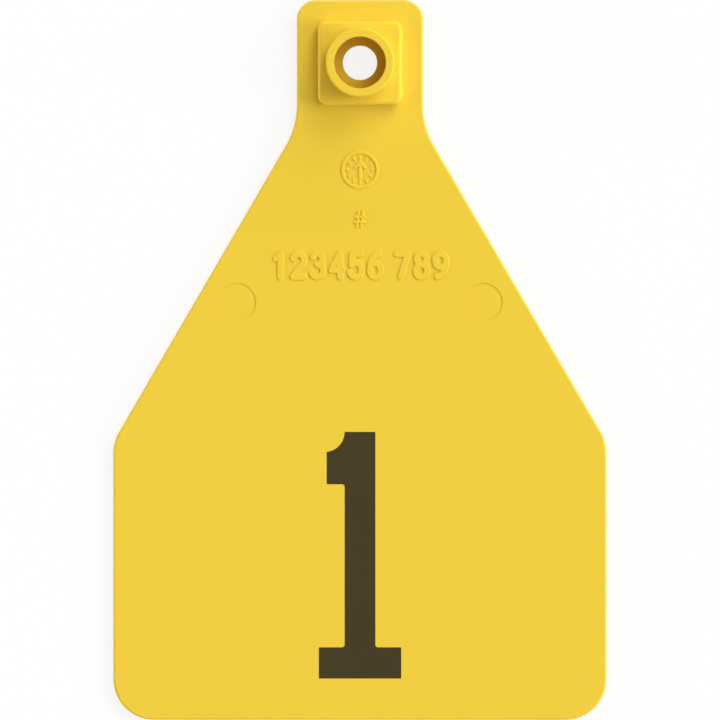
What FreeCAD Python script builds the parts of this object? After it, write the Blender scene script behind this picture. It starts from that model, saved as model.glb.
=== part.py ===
"""Livestock ear tag: the numbered panel half of a two-piece tag.

It is one moulding in flexible polyurethane. A wide flat panel carries the animal's number. Above it the
sides run in at an angle to a narrow neck, which is thicker than the panel and thins down to it over a
short taper. The neck carries a square pad, and on the pad stands a round boss. A stepped hole goes
through all three: the arrow head of the other half's stud is pushed through the narrow hole in the
web at the back, opens out in the wider socket in front of it, and can't be pulled back.

The number is burnt into the panel as a shallow recess and filled with dark ink. The ink is the only
other material, so it is a node of its own.

Frame: +Z is the way the numbered front faces and +Y points from the panel to the neck. The origin is
on the axis of the stud hole, at the flat back face. The tag lies on that face.
"""

import FreeCAD
import Part

import math
import os

Vector = FreeCAD.Vector
UP = Vector(0, 0, 1)
ACROSS = Vector(1, 0, 0)

# Outline, seen from the front. Heights are measured along Y from the axis of the stud hole.
panel_width = 76.2
neck_width = 19.5
top_above_hole = 9.7
neck_corner_below_hole = 9.85
shoulder_below_hole = 58.5
bottom_below_hole = 101.5
top_corner_radius = 3.0
neck_blend_radius = 12.7
shoulder_radius = 6.4
bottom_corner_radius = 6.35

# Thickness, and the taper between the thick neck and the thin panel.
neck_thickness = 2.0
panel_thickness = 1.5
taper_top_below_hole = 10.9
taper_bottom_below_hole = 26.6
taper_blend_radius = 10.0
front_edge_radius = 0.35
back_edge_radius = 0.2

# Square pad and round boss on the neck.
pad_width = 13.0
pad_height = 2.0
pad_corner_radius = 1.4
pad_edge_radius = 0.6
boss_diameter = 10.6
boss_height = 3.6
boss_edge_radius = 0.25

# Stepped hole for the stud.
stud_hole_diameter = 5.3
web_thickness = 1.1
socket_diameter = 8.0
socket_mouth_radius = 0.1

# Round marks that the mould's ejector pins leave, just sunk in the front face.
ejector_mark_diameter = 6.0
ejector_mark_depth = 0.1
ejector_mark_spacing = 38.1
ejector_marks_below_hole = 37.0

# The number 1: a stem on a slab foot, with a flag whose top is scooped out.
number_top_below_hole = 57.0
number_height = 38.1
number_stem_width = 4.76
number_foot_width = 12.74
number_foot_height = 4.83
number_flag_reach = 2.78
number_flag_height = 8.1
number_scoop_radius = 3.12
number_inner_corner_radius = 0.4
number_outer_corner_radius = 0.12
number_recess_depth = 0.12
number_ink_thickness = 0.1

# Length by which a cutting tool runs past the face it cuts through.
clear_of_part = 2.0


def outline(corners):
    """A closed wire through (corner, radius) pairs, each corner turned by an arc tangent to both its
    runs, or left sharp where the radius is 0."""
    turns = []
    for i, (corner, radius) in enumerate(corners):
        back = (corners[i - 1][0] - corner).normalize()
        ahead = (corners[(i + 1) % len(corners)][0] - corner).normalize()
        if radius == 0:
            turns.append((corner, None, corner))
            continue
        half_angle = back.getAngle(ahead) / 2
        inward = (back + ahead).normalize()
        reach = radius / math.tan(half_angle)
        middle = corner + inward * (radius / math.sin(half_angle) - radius)
        turns.append((corner + back * reach, middle, corner + ahead * reach))
    edges = []
    for i, (start, middle, end) in enumerate(turns):
        edges.append(Part.LineSegment(turns[i - 1][2], start).toShape())
        if middle:
            edges.append(Part.Arc(start, middle, end).toShape())
    return Part.Wire(edges)


def prism(wire, travel):
    """The solid that a closed flat wire sweeps along a vector."""
    return Part.Face(wire).extrude(travel)


def plan_outline():
    """The tag's outline at the back face, from the right-hand half and its mirror image."""
    right = [
        (neck_width / 2, top_above_hole, top_corner_radius),
        (neck_width / 2, -neck_corner_below_hole, neck_blend_radius),
        (panel_width / 2, -shoulder_below_hole, shoulder_radius),
        (panel_width / 2, -bottom_below_hole, bottom_corner_radius),
    ]
    left = [(-x, y, radius) for x, y, radius in reversed(right)]
    return outline([(Vector(x, y, 0), radius) for x, y, radius in right + left])


def side_profile():
    """The tag's section along its length: thick neck, taper, thin panel. It runs past both ends."""
    past_top = top_above_hole + clear_of_part
    past_bottom = -bottom_below_hole - clear_of_part
    corners = [
        (past_bottom, 0, 0),
        (past_top, 0, 0),
        (past_top, neck_thickness, 0),
        (-taper_top_below_hole, neck_thickness, taper_blend_radius),
        (-taper_bottom_below_hole, panel_thickness, taper_blend_radius),
        (past_bottom, panel_thickness, 0),
    ]
    past_side = -panel_width / 2 - clear_of_part
    return outline([(Vector(past_side, y, z), radius) for y, z, radius in corners])


def edges_near(shape, wire, z_low, z_high):
    """The edges of a shape that follow a plan wire, with their middles between two heights."""
    found = []
    for edge in shape.Edges:
        middle = edge.valueAt((edge.FirstParameter + edge.LastParameter) / 2)
        if not z_low <= middle.z <= z_high:
            continue
        on_plan = Part.Vertex(middle.x, middle.y, 0)
        if wire.distToShape(on_plan)[0] < 1e-4 and abs(edge.tangentAt(edge.FirstParameter).z) < 0.5:
            found.append(edge)
    return found


def sheet():
    """The neck and panel with their edges rounded."""
    plan = plan_outline()
    profile = prism(side_profile(), ACROSS * (panel_width + 2 * clear_of_part))
    blank = prism(plan, UP * (neck_thickness + clear_of_part)).common(profile)
    half_way = panel_thickness / 2
    rounded = blank.makeFillet(front_edge_radius, edges_near(blank, plan, half_way, neck_thickness))
    return rounded.makeFillet(back_edge_radius, edges_near(rounded, plan, 0, half_way))


def pad():
    """The square pad, from the back face to its rounded top edge."""
    half = pad_width / 2
    corners = [(half, half), (-half, half), (-half, -half), (half, -half)]
    wire = outline([(Vector(x, y, 0), pad_corner_radius) for x, y in corners])
    top = neck_thickness + pad_height
    block = prism(wire, UP * top)
    top_edges = [edge for edge in block.Edges if edge.BoundBox.ZMin > top - 1e-6]
    return block.makeFillet(pad_edge_radius, top_edges)


def turned(section):
    """The solid that a closed section in the XZ plane makes when it turns about the hole's axis."""
    wire = outline([(Vector(r, 0, z), radius) for r, z, radius in section])
    return Part.Face(wire).revolve(Vector(0, 0, 0), UP, 360)


def boss():
    """The round boss, as a disc from the back face up, with its top edge rounded."""
    top = neck_thickness + pad_height + boss_height
    radius = boss_diameter / 2
    return turned([(0, 0, 0), (radius, 0, 0), (radius, top, boss_edge_radius), (0, top, 0)])


def stepped_hole():
    """What is cut out for the stud: the hole through the web, the socket and its rounded mouth."""
    top = neck_thickness + pad_height + boss_height
    hole = stud_hole_diameter / 2
    socket = socket_diameter / 2
    bore = Part.makeCylinder(hole, web_thickness + 2 * clear_of_part, Vector(0, 0, -clear_of_part))
    # The mouth's arc is tangent to the socket's wall and to the boss's top face.
    mouth = socket + socket_mouth_radius
    below_mouth = top - socket_mouth_radius
    turn = 1 - math.sqrt(0.5)
    middle = Vector(socket + socket_mouth_radius * turn, 0, top - socket_mouth_radius * turn)
    points = [
        Vector(socket, 0, below_mouth),
        Vector(socket, 0, web_thickness),
        Vector(0, 0, web_thickness),
        Vector(0, 0, top + clear_of_part),
        Vector(mouth, 0, top + clear_of_part),
        Vector(mouth, 0, top),
    ]
    edges = [Part.LineSegment(a, b).toShape() for a, b in zip(points, points[1:])]
    edges.append(Part.Arc(points[-1], middle, points[0]).toShape())
    chamber = Part.Face(Part.Wire(edges)).revolve(Vector(0, 0, 0), UP, 360)
    return bore.fuse(chamber)


def ejector_marks():
    """The two shallow discs that the ejector pins press into the front face."""
    depth = panel_thickness - ejector_mark_depth
    return [
        Part.makeCylinder(
            ejector_mark_diameter / 2,
            clear_of_part,
            Vector(side * ejector_mark_spacing / 2, -ejector_marks_below_hole, depth),
        )
        for side in (-1, 1)
    ]


def number(z_low, z_high):
    """The number 1 as a slab between two heights. Its outline runs down the stem's right side, round
    the foot, up to the flag and back over the top, and a cylinder then scoops out the flag."""
    top = -number_top_below_hole
    bottom = top - number_height
    foot_top = bottom + number_foot_height
    flag_bottom = top - number_flag_height
    stem = number_stem_width / 2
    foot = number_foot_width / 2
    outer = number_outer_corner_radius
    inner = number_inner_corner_radius
    corners = [
        (stem, top, outer),
        (stem, foot_top, inner),
        (foot, foot_top, outer),
        (foot, bottom, outer),
        (-foot, bottom, outer),
        (-foot, foot_top, outer),
        (-stem, foot_top, inner),
        (-stem, flag_bottom, inner),
        (-stem - number_flag_reach, flag_bottom, outer),
        (-stem - number_flag_reach, top, 0),
    ]
    wire = outline([(Vector(x, y, z_low), radius) for x, y, radius in corners])
    figure = prism(wire, UP * (z_high - z_low))
    scoop_centre = Vector(-stem - number_scoop_radius, top, z_low)
    return figure.cut(Part.makeCylinder(number_scoop_radius, z_high - z_low, scoop_centre))


def tag_body():
    """The whole moulding."""
    solid = sheet().fuse([pad(), boss()]).cut([stepped_hole()] + ejector_marks())
    recess = number(panel_thickness - number_recess_depth, panel_thickness + clear_of_part)
    return solid.cut(recess).removeSplitter()


def number_ink():
    """The ink that lies in the number's recess, just below the panel's face."""
    floor = panel_thickness - number_recess_depth
    return number(floor, floor + number_ink_thickness)


def main():
    os.makedirs("parts", exist_ok=True)
    for name, shape in (("tag_body", tag_body()), ("number_ink", number_ink())):
        shape.exportStep(f"parts/{name}.step")
        corners = shape.BoundBox
        print(
            f"{name}: {len(shape.Solids)} solid, valid {shape.isValid()}, {shape.Volume:.1f} mm3, "
            f"{corners.XLength:.2f} x {corners.YLength:.2f} x {corners.ZLength:.2f} mm"
        )


main()
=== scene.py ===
# %% [markdown]
# # A livestock ear tag
# This file dresses the numbered half of a two-piece cattle tag: one flexible yellow moulding with a
# dark number burnt and inked into its panel. The solids come from the frame and already have the
# true outline, taper, pad, boss and stepped hole. What is left for this file is the finish of the
# plastic and the ink, the small raised marks that the mould leaves on the face, and the light.
# All lengths are in metres. +Z is the way the numbered front faces, and +Y points to the neck.

import math

import bmesh
import bpy
import numpy as np
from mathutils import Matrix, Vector


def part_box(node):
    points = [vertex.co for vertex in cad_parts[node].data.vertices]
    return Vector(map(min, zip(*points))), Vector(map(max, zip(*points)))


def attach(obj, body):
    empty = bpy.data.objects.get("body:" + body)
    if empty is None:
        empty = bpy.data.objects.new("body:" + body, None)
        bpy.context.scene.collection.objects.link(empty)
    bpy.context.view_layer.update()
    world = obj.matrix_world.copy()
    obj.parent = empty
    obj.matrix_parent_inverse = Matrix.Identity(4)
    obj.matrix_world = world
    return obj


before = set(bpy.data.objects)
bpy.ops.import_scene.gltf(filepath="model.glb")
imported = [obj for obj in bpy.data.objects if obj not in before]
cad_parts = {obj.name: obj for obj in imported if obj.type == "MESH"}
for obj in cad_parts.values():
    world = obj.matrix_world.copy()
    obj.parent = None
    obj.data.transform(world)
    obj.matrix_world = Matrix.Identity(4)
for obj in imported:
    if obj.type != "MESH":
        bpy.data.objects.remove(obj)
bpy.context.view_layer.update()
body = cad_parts["tag_body"]
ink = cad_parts["number_ink"]
scene = bpy.context.scene
millimetre = 0.001
print("solids:", sorted(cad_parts))

# %% [markdown]
# Everything added below takes its place from the solids. The origin is on the axis of the stud hole.
# The ink of the number lies just under the panel's face, so the face is found from it and from the
# depth at which ink is laid.

# %% Measure the solids
tag_low, tag_high = (Vector(corner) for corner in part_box("tag_body"))
ink_high = Vector(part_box("number_ink")[1])
tag_size = tag_high - tag_low
tag_middle = (tag_low + tag_high) / 2
ink_below_face = 0.02 * millimetre
panel_face = ink_high.z + ink_below_face
print(f"tag {tag_size.x / millimetre:.1f} x {tag_size.y / millimetre:.1f} mm")
print(f"panel {panel_face / millimetre:.2f} mm thick, boss {tag_high.z / millimetre:.2f} mm high")

# %% [markdown]
# ## Camera
# A tag is shown flat, from straight in front, with no perspective to speak of. An orthographic camera
# would do that too, but it can't step back to take in the tag from another side, so this one is a
# very long lens from far off. Its frame is exactly as high as the tag.

# %% Camera over the tag
camera_data = bpy.data.cameras.new("camera")
camera_data.sensor_width = 36
camera_data.lens = 1500
camera_distance = tag_size.y * camera_data.lens / camera_data.sensor_width
camera_data.clip_end = 2 * camera_distance
camera = bpy.data.objects.new("camera", camera_data)
camera.location = Vector((tag_middle.x, tag_middle.y, panel_face + camera_distance))
scene.collection.objects.link(camera)
scene.camera = camera
print(f"camera {camera_distance:.2f} m above the tag")

# %% [markdown]
# ## Surfaces from formulas
# New pieces are surfaces worked out with numpy: a point for every pair of two numbers, laid out on a
# grid. One helper gives the faces of such a grid and another turns grids into an object. Where points
# of a grid fall together, as at the end of a stroke, they are merged, and the faces are then turned to
# point outwards.

# %% Grids of points become an object
merge_distance = 0.0001 * millimetre
sharp_angle = math.radians(40)


def grid_faces(rows, columns, columns_meet):
    """Quads of a grid whose last row meets its first. Its last column meets its first if
    columns_meet. The corner at row i and column j has the number i * columns + j."""
    i, j = np.meshgrid(np.arange(rows), np.arange(columns - (not columns_meet)), indexing="ij")
    next_i = (i + 1) % rows
    next_j = (j + 1) % columns
    corners = [i * columns + j, next_i * columns + j, next_i * columns + next_j, i * columns + next_j]
    return np.stack(corners, axis=-1).reshape(-1, 4)


def shell(points, columns_meet):
    """Points and faces of one closed shell from its grid. Points that fall together become one, and a
    quad that loses a corner by that becomes a triangle."""
    faces = grid_faces(*points.shape[:2], columns_meet)
    points = points.reshape(-1, 3)
    whole = np.round(points / merge_distance).astype(np.int64)
    _, kept, number = np.unique(whole, axis=0, return_index=True, return_inverse=True)
    faces = number.reshape(-1)[faces]
    differs = faces != np.roll(faces, -1, axis=1)
    quads = faces[differs.all(axis=1)]
    three = differs.sum(axis=1) == 3
    triangles = faces[three][differs[three]].reshape(-1, 3)
    return points[kept], quads.tolist() + triangles.tolist()


def mesh_piece(name, grids):
    """One object from several (points, columns_meet) grids, riding on the tag."""
    points, faces = [], []
    for grid, columns_meet in grids:
        shell_points, shell_faces = shell(grid, columns_meet)
        faces += [[len(points) + corner for corner in face] for face in shell_faces]
        points += shell_points.tolist()
    mesh = bpy.data.meshes.new(name)
    mesh.from_pydata(points, [], faces)
    turned = bmesh.new()
    turned.from_mesh(mesh)
    bmesh.ops.recalc_face_normals(turned, faces=turned.faces)
    turned.to_mesh(mesh)
    turned.free()
    mesh.shade_smooth()
    mesh.set_sharp_from_angle(angle=sharp_angle)
    piece = bpy.data.objects.new(name, mesh)
    scene.collection.objects.link(piece)
    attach(piece, "root")
    print(f"{name}: {len(mesh.vertices)} points, {len(mesh.polygons)} faces")
    return piece


# %% [markdown]
# ## The height of the face
# The neck is thicker than the panel, and the face slopes down between them. Marks on the slope have to
# follow it. A ray dropped on the solid at each of a row of places beside the tag's middle line reads
# the height of the face there, and numpy fills in between.

# %% Read the height of the face down the length of the tag
reading_step = 0.25 * millimetre
reading_line_x = 8 * millimetre
reading_margin = 3 * millimetre
reading_y = np.arange(tag_low.y + reading_margin, tag_high.y - reading_margin, reading_step)
straight_down = Vector((0, 0, -1))
reading_z = np.array(
    [body.ray_cast(Vector((reading_line_x, y, 2 * tag_high.z)), straight_down)[1].z for y in reading_y]
)


def face_height(y):
    """Height of the front face at a distance along the tag, straight between the nearest readings."""
    return np.interp(y, reading_y, reading_z)


print(f"face from {reading_z.max() / millimetre:.2f} down to {reading_z.min() / millimetre:.2f} mm")

# %% [markdown]
# ## Raised marks
# The words and signs on a moulding are cut into the mould with a small round cutter that follows the
# middle of each stroke, so on the part they are ridges of one width with round ends. That gives the
# formula: every point of a ridge lies at some distance from the stroke's middle line, at a height
# which depends on that distance alone. Text set in a font would have sharp corners that no cutter
# makes, so the strokes are drawn here instead. What they say is plain: a row of digits, a number sign
# over them, and a month ring of the kind that moulds carry.

# %% The section of a ridge
ridge_relief = 0.16 * millimetre
ridge_shoulder = 0.04 * millimetre
ridge_draft = 0.02 * millimetre
ridge_sunk = 0.1 * millimetre
ridge_step = 0.003 * millimetre
shoulder_steps = 5
flat_share = 0.9
print(f"ridges stand {ridge_relief / millimetre:.2f} mm over the face")


def ridge_section(width):
    """Distances from the middle line and heights over the face, from the middle of the top, round
    the shoulder and down the drafted side to the middle of the underside. The shoulder is a quarter
    of a circle. Two points close together before it keep the top flat when it is shaded."""
    edge = width / 2 - ridge_shoulder
    turn = np.linspace(0, np.pi / 2, shoulder_steps)
    foot = width / 2 + ridge_draft
    distance = np.concatenate(
        [
            [0, flat_share * edge],
            edge + ridge_shoulder * np.sin(turn),
            [foot, foot, 0],
        ]
    )
    height = np.concatenate(
        [
            [ridge_relief] * 2,
            ridge_relief - ridge_shoulder * (1 - np.cos(turn)),
            [0, -ridge_sunk, -ridge_sunk],
        ]
    )
    return distance, height


# %% A stroke becomes a ridge
cap_steps = 13


def along(points):
    """Unit direction of travel at each point of a line, from the points on either side of it."""
    step = np.gradient(points, axis=0)
    return step / np.linalg.norm(step, axis=1, keepdims=True)


def left_of(direction):
    """The direction turned a quarter turn to the left."""
    return np.stack([-direction[:, 1], direction[:, 0]], axis=1)


def ridge(points, width):
    """The grid of points of one ridge. Its rows go round the stroke's middle line: up its left side,
    round the far end, down its right side and round the near end. Its columns follow the section."""
    heading = along(points)
    left = left_of(heading)
    turn = np.linspace(np.pi / 2, -np.pi / 2, cap_steps)[1:-1, None]
    far = np.cos(turn) * heading[-1] + np.sin(turn) * left[-1]
    near = -np.cos(turn) * heading[0] - np.sin(turn) * left[0]
    middle = np.concatenate(
        [points, np.repeat(points[-1:], len(far), 0), points[::-1], np.repeat(points[:1], len(near), 0)]
    )
    outward = np.concatenate([left, far, -left[::-1], near])
    distance, height = ridge_section(width)
    place = middle[:, None, :] + outward[:, None, :] * distance[:, None]
    z = face_height(place[..., 1]) + height
    return np.concatenate([place, z[..., None]], axis=-1)


def loop_ridge(points, width):
    """The grid of points of a ridge that runs round a closed middle line. Its rows go along the line
    and its columns go round the whole section: down the left side and up the right."""
    step = np.roll(points, -1, 0) - np.roll(points, 1, 0)
    left = left_of(step / np.linalg.norm(step, axis=1, keepdims=True))
    distance, height = ridge_section(width)
    across = np.concatenate([distance, -distance[-2:0:-1]])
    rise = np.concatenate([height, height[-2:0:-1]])
    place = points[:, None, :] + left[:, None, :] * across[:, None]
    z = face_height(place[..., 1]) + rise
    return np.concatenate([place, z[..., None]], axis=-1)


def ridges(open_strokes, closed_strokes, width):
    """Grids of strokes that may overlap. Two ridges must not share a face at one height, so each
    stands a few thousandths of a millimetre higher than the one before it."""
    grids = [(ridge(stroke, width), False) for stroke in open_strokes]
    grids += [(loop_ridge(stroke, width), True) for stroke in closed_strokes]
    return [(points + (0, 0, count * ridge_step), meet) for count, (points, meet) in enumerate(grids)]


# %% [markdown]
# A stroke is a straight run or an arc, drawn in a box one unit wide and one unit high. A digit is a
# few strokes. Where two of them meet at a corner, their round ends overlap, as two passes of the
# cutter do.

# %% Strokes in a unit box
arc_steps = 25


def run(*corners):
    """A straight stroke through its two ends, in a unit box."""
    return np.array(corners, dtype=float)


def arc(centre, radii, start, end):
    """Points of an ellipse's arc from one angle to another, in degrees anticlockwise from the right."""
    turn = np.radians(np.linspace(start, end, arc_steps))
    return np.stack([centre[0] + radii[0] * np.cos(turn), centre[1] + radii[1] * np.sin(turn)], axis=1)


def ring(centre, radii):
    """Points of a whole ellipse, without its first point again at the end."""
    return arc(centre, radii, 0, 360)[:-1]


def turned_over(strokes):
    """Strokes turned half a turn in their box, which makes a nine of a six."""
    return [1 - stroke for stroke in strokes]


# %% The digits: open strokes first, then closed ones
bowl_top = 0.58
six_open = [arc((0.95, bowl_top / 2), (0.95, 1 - bowl_top / 2), 180, 98)]
six_closed = [ring((0.5, bowl_top / 2), (0.5, bowl_top / 2))]
neck_of_two = np.concatenate([arc((0.5, 0.74), (0.5, 0.26), 165, -38.7), run((0, 0))])
upper_three = arc((0.47, 0.77), (0.43, 0.23), 155, -90)
lower_three = arc((0.47, 0.27), (0.53, 0.27), 90, -155)
bowl_of_five = arc((0.45, 0.31), (0.55, 0.31), 132, -155)
digits = {
    "1": ([run((0.2, 0.8), (0.6, 1)), run((0.6, 1), (0.6, 0))], []),
    "2": ([neck_of_two, run((0, 0), (1, 0))], []),
    "3": ([upper_three, lower_three], []),
    "4": ([run((0.78, 0), (0.78, 1)), run((0.78, 1), (0, 0.3)), run((0, 0.3), (1, 0.3))], []),
    "5": ([run((0.9, 1), (0.15, 1)), run((0.15, 1), (0.08, 0.53)), bowl_of_five], []),
    "6": (six_open, six_closed),
    "7": ([run((0, 1), (1, 1)), run((1, 1), (0.35, 0))], []),
    "8": ([], [ring((0.5, 0.77), (0.43, 0.23)), ring((0.5, 0.27), (0.5, 0.27))]),
    "9": (turned_over(six_open), turned_over(six_closed)),
}
print(f"{len(digits)} digits")

# %% [markdown]
# The digits stand in a row across the tag, six and then three, in strokes bold enough to be read
# through winter hair.

# %% Raised row of digits
digit_row = "123456 789"
digit_stroke = 0.9 * millimetre
digit_size = np.array([1.72, 3.54]) * millimetre
digit_pitch = 2.97 * millimetre
space_pitch = 1.2 * millimetre
digits_foot_y = -33.08 * millimetre


def placed(strokes, corner, size):
    """Strokes of a unit box, brought to a size and to the place of the box's lower left corner."""
    return [corner + stroke * size for stroke in strokes]


pitches = [space_pitch if figure == " " else digit_pitch for figure in digit_row]
starts = np.cumsum([0] + pitches[:-1])
row_length = starts[-1] + digit_size[0]
grids = []
for figure, start in zip(digit_row, starts):
    if figure == " ":
        continue
    corner = np.array([tag_middle.x - row_length / 2 + start, digits_foot_y])
    open_strokes, closed_strokes = digits[figure]
    grids += ridges(
        placed(open_strokes, corner, digit_size),
        placed(closed_strokes, corner, digit_size),
        digit_stroke,
    )
raised_digits = mesh_piece("raised_digits", grids)

# %% [markdown]
# The number sign says that the digits are a number. Two of its bars lean and two lie level.

# %% Raised number sign
sign_stroke = 0.36 * millimetre
sign_size = np.array([1.6, 2.3]) * millimetre
sign_middle = np.array([tag_middle.x, -24.2 * millimetre])
sign_lean = 0.16
sign_bars = [
    run((0.22, 0), (0.22 + sign_lean, 1)),
    run((0.78 - sign_lean, 0), (0.78, 1)),
    run((0, 0.32), (0.94, 0.32)),
    run((0.06, 0.68), (1, 0.68)),
]
bars = placed(sign_bars, sign_middle - sign_size / 2, sign_size)
number_sign = mesh_piece("number_sign", ridges(bars, [], sign_stroke))

# %% [markdown]
# The month ring is the small round insert that a moulder turns to show when a part was made: a ring,
# a tick for each month inside it and an arrow that points at one of them. Here it points straight up.

# %% Raised month ring
month_ring_middle = np.array([tag_middle.x, -16.55 * millimetre])
month_ring_radius = 2.7 * millimetre
month_ring_stroke = 0.4 * millimetre
tick_from, tick_to = 0.66, 0.76
tick_stroke = 0.26 * millimetre
arrow_stroke = 0.42 * millimetre
arrow_strokes = [
    run((0, -0.42), (0, 0.42)),
    run((0, 0.42), (-0.26, 0.14)),
    run((0, 0.42), (0.26, 0.14)),
]
months = 12

month_angles = 2 * np.pi * np.arange(months) / months
month_directions = np.stack([np.sin(month_angles), np.cos(month_angles)], axis=1)
ticks = [np.stack([tick_from * way, tick_to * way]) for way in month_directions]
circle = ring((0, 0), (1, 1))
grids = []
for open_strokes, closed_strokes, width in (
    ([], [circle], month_ring_stroke),
    (ticks, [], tick_stroke),
    (arrow_strokes, [], arrow_stroke),
):
    grids += ridges(
        placed(open_strokes, month_ring_middle, month_ring_radius),
        placed(closed_strokes, month_ring_middle, month_ring_radius),
        width,
    )
month_ring = mesh_piece("month_ring", grids)

# %% [markdown]
# ## Plastic
# The tag is a soft polyurethane, moulded against steel that was blasted to a fine even grain. Three
# things show that: a grain about a fifth of a millimetre across that only breaks up the shine, a slow
# unevenness of the shine where the melt cooled at different speeds, and a colour that is very nearly
# but not quite even. All are noise on Object coordinates, so that the grain keeps its real size. The
# bump stands for the grain alone: every visible form is in the meshes.

# %% Helpers for materials
def material(name):
    """A new node material and its shader."""
    new = bpy.data.materials.new(name)
    new.use_nodes = True
    return new, new.node_tree.nodes["Principled BSDF"]


def node(tree, kind, **inputs):
    """A node of a kind, with some of its inputs set by name."""
    new = tree.nodes.new(kind)
    for key, value in inputs.items():
        new.inputs[key].default_value = value
    return new


def noise(tree, feature_size, detail):
    """Noise on Object coordinates whose features are about a given size across."""
    place = node(tree, "ShaderNodeTexCoord")
    cloud = node(tree, "ShaderNodeTexNoise", Scale=1 / feature_size, Detail=detail)
    tree.links.new(place.outputs["Object"], cloud.inputs["Vector"])
    return cloud.outputs["Fac"]


def ranged(tree, value, low, high):
    """A value between 0 and 1 mapped to a range."""
    mapped = tree.nodes.new("ShaderNodeMapRange")
    mapped.inputs["To Min"].default_value = low
    mapped.inputs["To Max"].default_value = high
    tree.links.new(value, mapped.inputs["Value"])
    return mapped.outputs["Result"]


def mixed_colour(tree, value, first, second):
    """A colour between two, chosen by a value."""
    mix = tree.nodes.new("ShaderNodeMix")
    mix.data_type = "RGBA"
    mix.inputs["A"].default_value = (*first, 1)
    mix.inputs["B"].default_value = (*second, 1)
    tree.links.new(value, mix.inputs["Factor"])
    return mix.outputs["Result"]


def bumped(tree, shader, height, distance):
    """Gives a shader a bump of a given depth in metres."""
    bump = node(tree, "ShaderNodeBump", Distance=distance)
    tree.links.new(height, bump.inputs["Height"])
    tree.links.new(bump.outputs["Normal"], shader.inputs["Normal"])


# %% Yellow plastic
melt_size = 9 * millimetre
grain_size = 0.2 * millimetre
grain_depth = 0.004 * millimetre
duller_yellow = (0.8, 0.556, 0.035)
brighter_yellow = (0.82, 0.57, 0.038)

yellow_plastic, shader = material("yellow_plastic")
tree = yellow_plastic.node_tree
melt = noise(tree, melt_size, 2)
grain = noise(tree, grain_size, 2)
colour = mixed_colour(tree, melt, duller_yellow, brighter_yellow)
tree.links.new(colour, shader.inputs["Base Color"])
tree.links.new(ranged(tree, melt, 0.44, 0.54), shader.inputs["Roughness"])
shader.inputs["Specular IOR Level"].default_value = 0.25
bumped(tree, shader, grain, grain_depth)
print(f"yellow plastic with a grain {grain_size / millimetre} mm across")

# %% [markdown]
# ## Ink
# The number is burnt into the face, and ink is wiped into the burn. It dries dull, with a slightly
# uneven colour, over the rough floor that the burning leaves.

# %% Dark ink
wiping_size = 3 * millimetre
burn_size = 0.12 * millimetre
burn_depth = 0.006 * millimetre
darker_ink = (0.038, 0.027, 0.007)
lighter_ink = (0.046, 0.033, 0.009)

dark_ink, shader = material("dark_ink")
tree = dark_ink.node_tree
wiped = noise(tree, wiping_size, 3)
burnt = noise(tree, burn_size, 2)
colour = mixed_colour(tree, wiped, darker_ink, lighter_ink)
tree.links.new(colour, shader.inputs["Base Color"])
tree.links.new(ranged(tree, burnt, 0.5, 0.65), shader.inputs["Roughness"])
shader.inputs["Specular IOR Level"].default_value = 0.15
bumped(tree, shader, burnt, burn_depth)
print(f"dark ink over a burn {burn_size / millimetre} mm rough")

# %% [markdown]
# The raised marks are the same moulding as the tag, so they take the same plastic. The ink is the only
# piece with a finish of its own.

# %% Give each piece its finish
finishes = {yellow_plastic: (body, raised_digits, number_sign, month_ring), dark_ink: (ink,)}
for finish, pieces in finishes.items():
    for piece in pieces:
        piece.data.materials.clear()
        piece.data.materials.append(finish)
    print(f"{finish.name} on {len(pieces)} pieces")

# %% [markdown]
# ## Floor
# The tag lies on a plain white floor. Seen by the camera the floor is mostly lit from within, so that
# it is white without more light on the tag, and partly shaded, so that it keeps the tag's shadow.
# It is a hair below the tag's back, because two faces at one height would show through each other.

# %% The floor's disc
floor_radius = 4.0
floor_sides = 64
floor_below_tag = 0.02 * millimetre

turn = np.linspace(0, 2 * np.pi, floor_sides, endpoint=False)
rim = floor_radius * np.stack([np.cos(turn), np.sin(turn), np.zeros(floor_sides)], axis=1)
rim[:, 2] = tag_low.z - floor_below_tag
floor_mesh = bpy.data.meshes.new("floor")
floor_mesh.from_pydata(rim, [], [range(floor_sides)])
floor = bpy.data.objects.new("floor", floor_mesh)
scene.collection.objects.link(floor)
print(f"floor {2 * floor_radius:.0f} m across")

# %% [markdown]
# A Light Path node tells what kind of ray asks for a colour. The floor and the world answer a ray that
# shows them, straight or in a gloss, with white, and a ray that carries light with what they really
# give off: the floor only what it reflects, and the world a faint fill.

# %% White floor and surroundings
floor_paleness = 0.9
floor_roughness = 0.9
own_light_share = 0.85
fill_strength = 0.08


def seen_directly(tree):
    """1 for a ray from the camera, in a mirror or through glass, and 0 for one that carries light."""
    path = tree.nodes.new("ShaderNodeLightPath")
    total = path.outputs["Is Camera Ray"]
    for other in ("Is Glossy Ray", "Is Transmission Ray"):
        either = tree.nodes.new("ShaderNodeMath")
        either.operation = "MAXIMUM"
        tree.links.new(total, either.inputs[0])
        tree.links.new(path.outputs[other], either.inputs[1])
        total = either.outputs["Value"]
    return total


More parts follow.
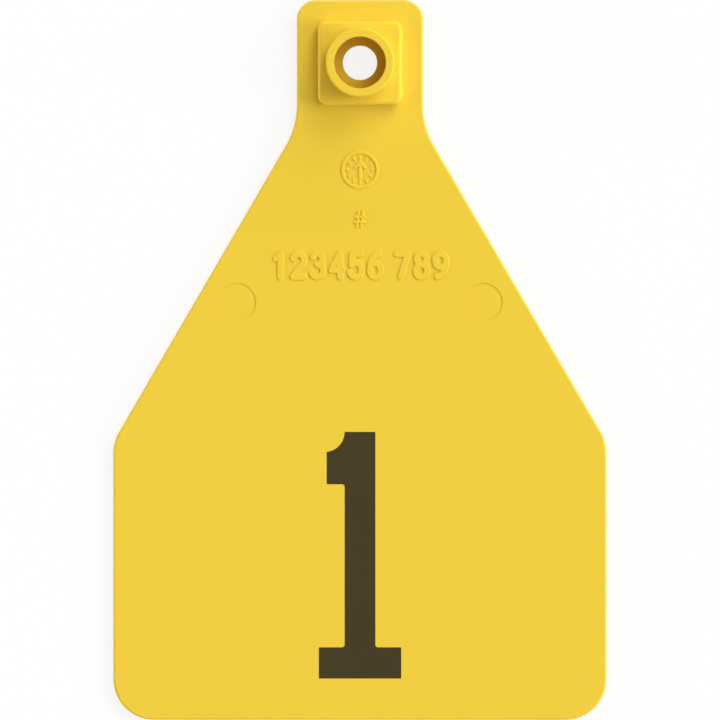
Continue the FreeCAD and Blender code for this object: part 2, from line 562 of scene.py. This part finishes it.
floor_material, shader = material("white_floor")
tree = floor_material.node_tree
shader.inputs["Base Color"].default_value = (*[floor_paleness] * 3, 1)
shader.inputs["Roughness"].default_value = floor_roughness
glow = node(tree, "ShaderNodeEmission", Color=(1, 1, 1, 1), Strength=1)
share = ranged(tree, seen_directly(tree), 0, own_light_share)
blend = tree.nodes.new("ShaderNodeMixShader")
tree.links.new(share, blend.inputs["Fac"])
tree.links.new(shader.outputs["BSDF"], blend.inputs[1])
tree.links.new(glow.outputs["Emission"], blend.inputs[2])
tree.links.new(blend.outputs["Shader"], tree.nodes["Material Output"].inputs["Surface"])
floor_mesh.materials.append(floor_material)

world = bpy.data.worlds.new("studio")
world.use_nodes = True
scene.world = world
tree = world.node_tree
background = tree.nodes["Background"]
background.inputs["Color"].default_value = (1, 1, 1, 1)
tree.links.new(ranged(tree, seen_directly(tree), fill_strength, 1), background.inputs["Strength"])
print(f"floor {own_light_share:.0%} lit from within, fill {fill_strength}")

# %% [markdown]
# ## Light
# Soft light comes from the right and from the neck's end, low enough for the pad and the boss to throw
# wide soft shadows and for every raised edge to show. Two boxes stand very low, on the left and at the
# panel's end. They hardly light the flat face, but they rim the edges there. Sun lamps stand for
# softboxes far off: their light is even over the whole tag, and their angle makes it as soft as a
# large box would.

# %% Softboxes
softboxes = [
    # name, degrees round from the right, degrees up, strength, degrees across
    ("key_right", 0, 25, 1.7, 30),
    ("key_upper_right", 60, 25, 1.35, 30),
    ("key_high", 45, 45, 0.9, 30),
    ("high_above", 90, 45, 0.25, 30),
    ("overhead", 0, 70, 0.45, 30),
    ("rim_left", 180, 10, 1.9, 30),
    ("rim_below", 300, 10, 1.3, 30),
]
for name, around, up, strength, across in softboxes:
    lamp = bpy.data.lights.new(name, "SUN")
    lamp.energy = strength
    lamp.angle = math.radians(across)
    softbox = bpy.data.objects.new(name, lamp)
    towards = Vector((math.cos(math.radians(around)), math.sin(math.radians(around)), 0))
    towards = towards * math.cos(math.radians(up)) + Vector((0, 0, math.sin(math.radians(up))))
    softbox.rotation_euler = towards.to_track_quat("Z", "Y").to_euler()
    scene.collection.objects.link(softbox)
print(f"{len(softboxes)} softboxes")

# %% View transform
scene.view_settings.view_transform = "Standard"
